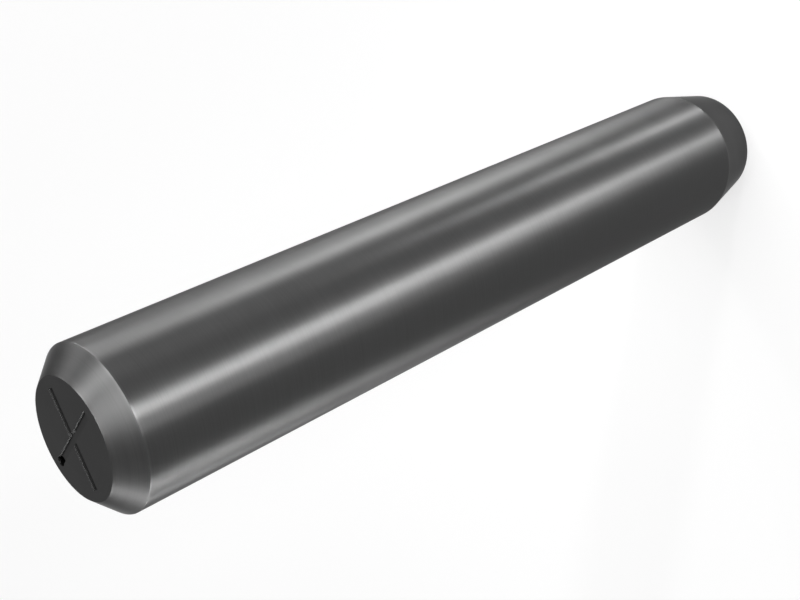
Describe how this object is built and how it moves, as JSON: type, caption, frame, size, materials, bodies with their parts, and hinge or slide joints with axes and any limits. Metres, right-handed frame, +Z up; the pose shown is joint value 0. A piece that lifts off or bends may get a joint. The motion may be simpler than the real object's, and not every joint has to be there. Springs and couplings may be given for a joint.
{
  "type": "taperlock stud",
  "caption": "Plain round steel locking stud with a chamfered nut end that carries an engraved cross, and a long slow taper at its locking end.",
  "frame": {"origin": "centre of the flat face of the tapered locking end, on which the stud stands", "axes": "+Z up along the stud's axis, from the tapered locking end to the chamfered nut end with the cross; the first groove of the cross runs nearly along X"},
  "size_m": [0.016, 0.016, 0.095],
  "materials": {
    "steel": "dark ground steel, satin, with a fine lay round the axis"
  },
  "bodies": {
    "root": {"stud": "steel"}
  },
  "joints": []
}
